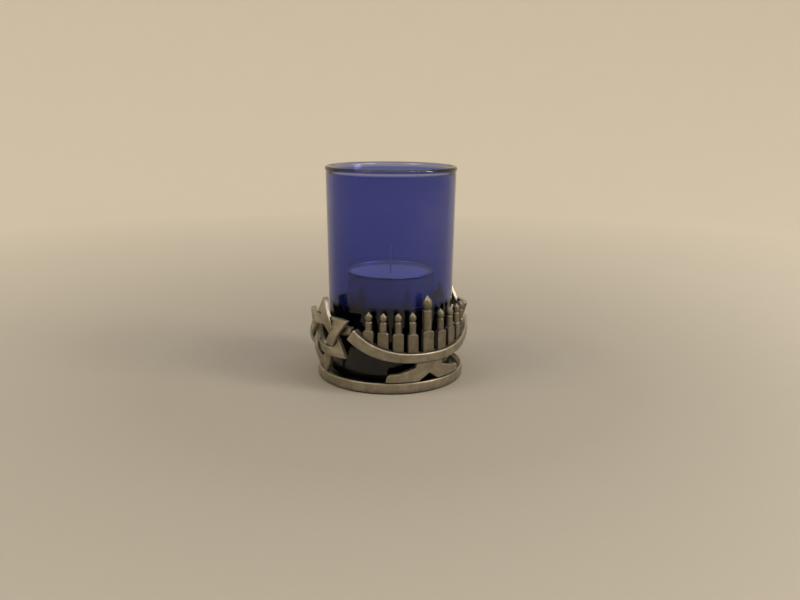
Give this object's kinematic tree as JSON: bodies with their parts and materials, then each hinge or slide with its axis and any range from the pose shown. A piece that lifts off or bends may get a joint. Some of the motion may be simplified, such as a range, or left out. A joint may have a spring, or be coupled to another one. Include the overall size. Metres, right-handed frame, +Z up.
{
  "type": "votive candle holder",
  "caption": "Free-standing votive holder: a tapered cobalt glass cup with a tealight in it stands in an openwork pewter ring with a menorah and interlaced six-pointed stars.",
  "frame": {"origin": "middle of the flat underside of the base ring, on the glass's centre line", "axes": "+Z up along the glass's centre line, -Y the front from which it is seen, +X the viewer's right; the menorah's middle is 30 degrees to the right of the front"},
  "size_m": [0.069, 0.0674, 0.09],
  "materials": {
    "pewter": "satin cast pewter, darkened in the recesses",
    "cobalt_glass": "cobalt blue, polished",
    "tealight_aluminium": "bright drawn sheet",
    "wax": "white paraffin wax, satin",
    "wick": "waxed cotton braid",
    "tab_steel": "thin tinned sheet"
  },
  "bodies": {
    "holder": {"base_ring": "pewter", "left_star_upright": "pewter", "left_star_inverted": "pewter", "right_star_upright": "pewter", "right_star_inverted": "pewter", "front_arm": "pewter", "front_foot": "pewter", "back_arm": "pewter", "back_foot": "pewter", "socket_1": "pewter", "socket_2": "pewter", "socket_3": "pewter", "socket_4": "pewter", "socket_5": "pewter", "socket_6": "pewter", "socket_7": "pewter", "socket_8": "pewter", "shamash_socket": "pewter", "candle_1": "pewter", "candle_2": "pewter", "candle_3": "pewter", "candle_4": "pewter", "candle_5": "pewter", "candle_6": "pewter", "candle_7": "pewter", "candle_8": "pewter", "shamash": "pewter"},
    "glass": {"glass_cup": "cobalt_glass"},
    "tealight": {"tealight_cup": "tealight_aluminium"},
    "candle": {"wax": "wax", "wick": "wick", "wick_tab": "tab_steel"}
  },
  "joints": [
    {"name": "glass_lift", "type": "slide", "parent": "holder", "child": "glass", "axis": [0, 0, 1], "range_m": [0, 0.045]},
    {"name": "tealight_lift", "type": "slide", "parent": "glass", "child": "tealight", "axis": [0, 0, 1], "range_m": [0, 0.065]},
    {"name": "wax_lift", "type": "slide", "parent": "tealight", "child": "candle", "axis": [0, 0, 1], "range_m": [0, 0.018]}
  ]
}
